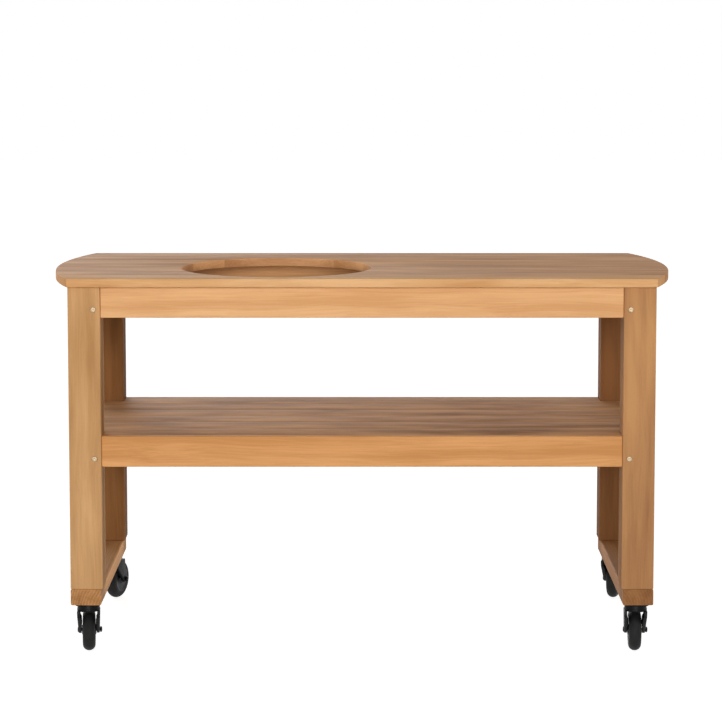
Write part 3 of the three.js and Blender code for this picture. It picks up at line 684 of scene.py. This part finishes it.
for number in range(1, shelf_board_count + 1):
    # Each board comes from another place in its log, so no two show the same figure.
    low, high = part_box(f"shelf_board_{number}")
    pith = (0.4 * number, (low.y + high.y) / 2 + 0.05 * math.sin(number * 2.1), low.z - 0.05)
    wood = oiled_hardwood(f"oiled_hardwood_shelf_board_{number}", "x", pith, "d4a06e", "946740",
                          rings=0.15, streak=(4, 17), gloss=0.68, sheen=0.2)
    board = block(f"shelf_board_{number}_eased", low, high)
    if number in (1, shelf_board_count):
        outward = -1 if number == 1 else 1
        near, far = sorted((middle + outward * notch_y, middle + outward * past_y))
        for sign in (-1, 1):
            left, right = sorted((sign * notch_x, sign * past_x))
            notch = block("notch", (left, near, low.z - past_z), (right, far, high.z + past_z))
            cut(board, notch)
            bpy.data.objects.remove(notch)
    lay_board(board, f"shelf_plank_{number}", f"shelf_board_{number}", wood)
for number in (1, 2):
    finish_batten("shelf_batten", number)


# Top: boards screwed down tight side by side on three battens. Their ends were then sawn to a
# bow, and the round opening was cut with a router, so ends and opening run through in one curve.
top_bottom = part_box("top_board_1")[0].z
half_length = 0.745
blank_end = 0.8                              # where the boards ended before they were sawn
bow_radius = 0.92674
bow_centre = bow_radius - half_length
bow_sides = 720
hole_radius = 0.230
hole_x = -0.208
hole_y = middle - 0.0485
hole_sides = 240
two_pieces = (2, 3, 4, 5)                    # boards that the opening cuts in two
whole_board = 7                              # and the one that it leaves alone
board_tones = [("daab78", "c08b57"), ("d09e6f", "aa7a50"), ("d3a172", "ad7d53"),
               ("cb9b6d", "a57650"), ("d5a374", "b08054"), ("ce9d70", "a97950"),
               ("d1a072", "ac7c53")]


def disc(name, radius, x, y, sides):
    """A round cutter that reaches through the boards."""
    bpy.ops.object.select_all(action="DESELECT")
    bpy.ops.mesh.primitive_cylinder_add(vertices=sides, radius=radius, depth=0.2,
                                        location=(x, y, top_bottom))
    piece = bpy.context.active_object
    piece.name = name
    bpy.ops.object.transform_apply(location=True, rotation=True, scale=True)
    return piece


right_bow = disc("right_bow", bow_radius, -bow_centre, middle, bow_sides)
left_bow = disc("left_bow", bow_radius, bow_centre, middle, bow_sides)
opening = disc("opening", hole_radius, hole_x, hole_y, hole_sides)
for number, (pale, dark) in enumerate(board_tones, 1):
    parts = ["_left", "_right"] if number in two_pieces else [""]
    boxes = [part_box(f"top_board_{number}{part}") for part in parts]
    low, high = boxes[0][0], boxes[-1][1]
    pith = (0.37 * number, (low.y + high.y) / 2 + 0.06 * math.sin(number * 1.7), low.z - 0.06)
    wood = oiled_hardwood(f"oiled_hardwood_top_board_{number}", "x", pith, pale, dark, rings=0.15,
                          streak=(3.5, 18), gloss=0.68, sheen=0.2,
                          routed=number > 1)     # the first board's long front edge is planed
    board = block("board", (-blank_end, low.y, low.z), (blank_end, high.y, high.z))
    cut(board, right_bow, "INTERSECT")
    cut(board, left_bow, "INTERSECT")
    if number != whole_board:
        cut(board, opening)
    alone(board)
    bpy.ops.object.mode_set(mode="EDIT")
    bpy.ops.mesh.separate(type="LOOSE")
    bpy.ops.object.mode_set(mode="OBJECT")
    pieces = sorted(bpy.context.selected_objects, key=lambda piece: piece.bound_box[0][0])
    for piece, part in zip(pieces, parts):
        lay_board(piece, f"top_plank_{number}{part}", f"top_board_{number}{part}", wood)
for tool in (right_bow, left_bow, opening):
    bpy.data.objects.remove(tool)
for number in (1, 2, 3):
    finish_batten("top_batten", number)


# Frame bolts: stainless steel button heads with a hexagon socket on the outer face of each post,
# and a cap nut on the inner face.
socket_radius = 0.0030
socket_length = 0.004
socket_middle = -0.0034


def turned_on_bolt(name, profile):
    """Turns a profile, given in millimetres out from the bolt's line and from the post's face."""
    return turned(name, [(r / 1000, -y / 1000, 0) for r, y in profile], (0, 0, 0), (0, 1, 0), 48)


button = turned_on_bolt("button_head", [(0, 3.4), (4.4, 3.3), (5.9, 2.8), (6.7, 1.9), (7.0, 0.9),
                                        (6.95, 0.05), (4, 0.05), (4, -24), (0, -24)])
bpy.ops.object.select_all(action="DESELECT")
bpy.ops.mesh.primitive_cylinder_add(vertices=6, radius=socket_radius, depth=socket_length,
                                    location=(0, socket_middle, 0), rotation=(math.pi / 2, 0, 0))
socket = bpy.context.active_object
bpy.ops.object.transform_apply(location=True, rotation=True, scale=True)
cut(button, socket)
bpy.data.objects.remove(socket)
rounded(button, 0.0002)
cap = turned_on_bolt("cap_nut", [(0, -78.0), (4.4, -78.0), (6.6, -77.6), (7.0, -77.0),
                                 (7.0, -76.3), (5.2, -76.3), (5.2, -52), (0, -52)])
rounded(cap, 0.0002)
alone(button, cap)
bpy.ops.object.join()
bolt = bpy.context.active_object

# Stainless steel, turned and tumbled, has a broad dull highlight. Its fine turning marks break
# the reflection up, and are drawn 0.7 mm wide. Its colour is tinted warm: a painted reflection
# of the wood round it.
steel = bpy.data.materials.new("turned_stainless_steel")
tree = empty_tree(steel)
place = add(tree, "ShaderNodeTexCoord")
scratches = add(tree, "ShaderNodeTexNoise", Vector=place.outputs["Object"], Scale=1500, Detail=2)
gloss = add(tree, "ShaderNodeMapRange", Value=scratches.outputs["Fac"], From_Min=0.3, From_Max=0.7,
            To_Min=0.5, To_Max=0.62)
# the warm tint of the base colour is a painted reflection of the wood round the bolt
surface = add(tree, "ShaderNodeBsdfPrincipled", Base_Color=srgb("ab967a"), Metallic=1.0,
              Roughness=gloss.outputs[0])
add(tree, "ShaderNodeOutputMaterial", Surface=surface.outputs[0])
bolt.data.materials.clear()
bolt.data.materials.append(steel)
for corner in corners:
    outward, turn = (-1, 0) if "front" in corner else (1, math.pi)
    for height_name in ("shelf", "top"):
        node = f"{corner}_{height_name}_bolt"
        low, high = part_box(node)
        place = ((low.x + high.x) / 2, middle + outward * half_depth, (low.z + high.z) / 2)
        piece = copy_of(bolt, f"{corner}_{height_name}_button_bolt", place, turn)
        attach(piece, "table_frame")
        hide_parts(node)
bpy.data.objects.remove(bolt)
